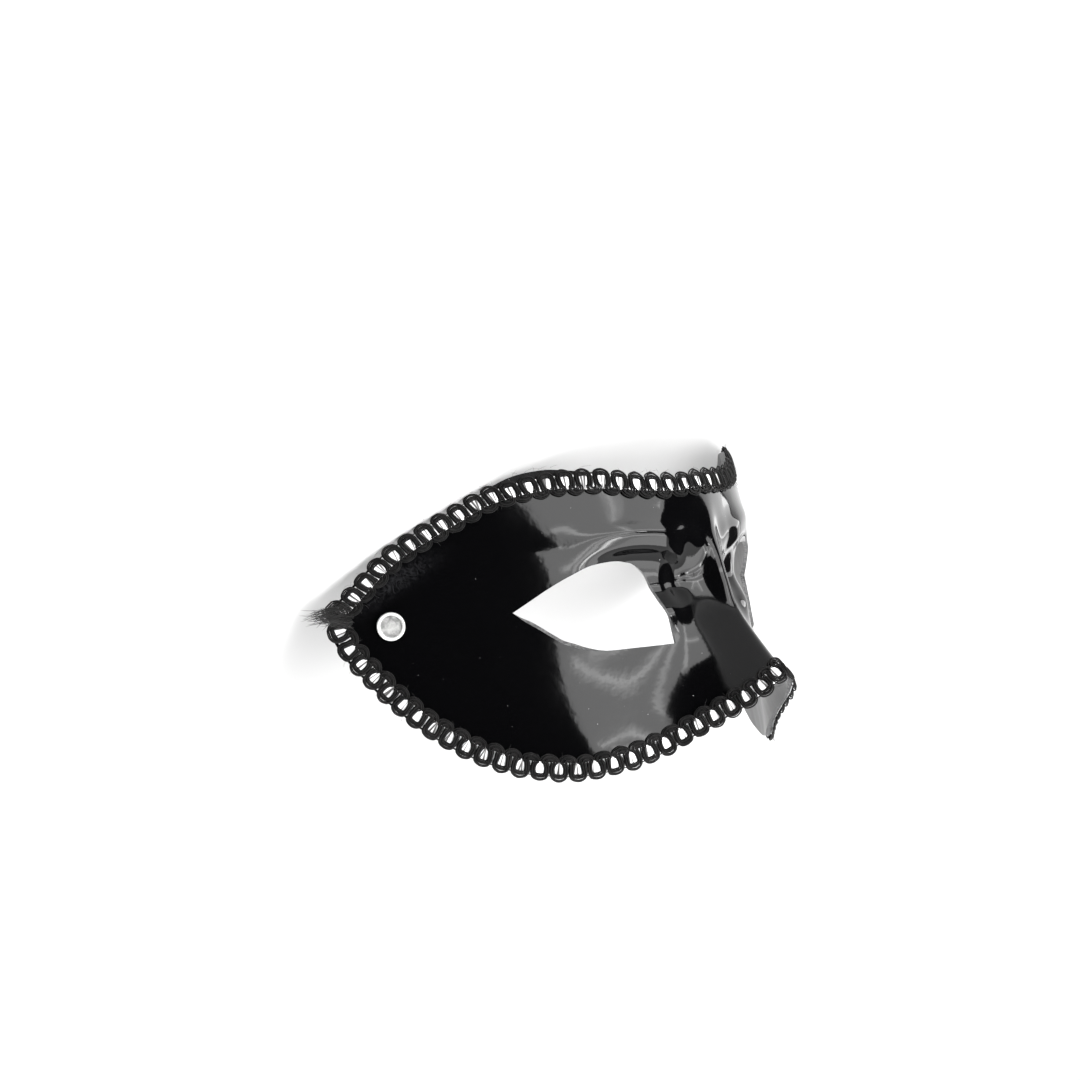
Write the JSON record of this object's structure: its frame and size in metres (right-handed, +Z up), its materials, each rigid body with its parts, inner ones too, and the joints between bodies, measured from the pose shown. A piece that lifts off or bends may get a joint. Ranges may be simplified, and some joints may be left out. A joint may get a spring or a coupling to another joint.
{
  "type": "party mask",
  "caption": "Half face party mask: glossy black moulded shell, hollow behind, with recessed eye holes, black and silver corded braid along its edges and a rivet at each temple.",
  "frame": {"origin": "centre of the bounding box, on the surface that the mask rests on", "axes": "+Z up, +X across the mask towards its own right temple in the picture's near half, nose towards -Y and up, brow edge down on the surface"},
  "size_m": [0.1728, 0.0746, 0.0799],
  "materials": {
    "shell_plastic": "glossy black, lightly dusty, satin grey behind",
    "braid_cord": "black wrapped rayon cord with a slight sheen",
    "silver_foil": "creased silver foil ribbon",
    "rivet_metal": "bright rolled ring round a mottled disc"
  },
  "bodies": {
    "root": {"mask_shell": "shell_plastic", "upper_braid": "braid_cord", "lower_braid": "braid_cord", "upper_foil_ribbon": "silver_foil", "lower_foil_ribbon": "silver_foil", "rivet_left": "rivet_metal", "rivet_right": "rivet_metal"}
  },
  "joints": []
}
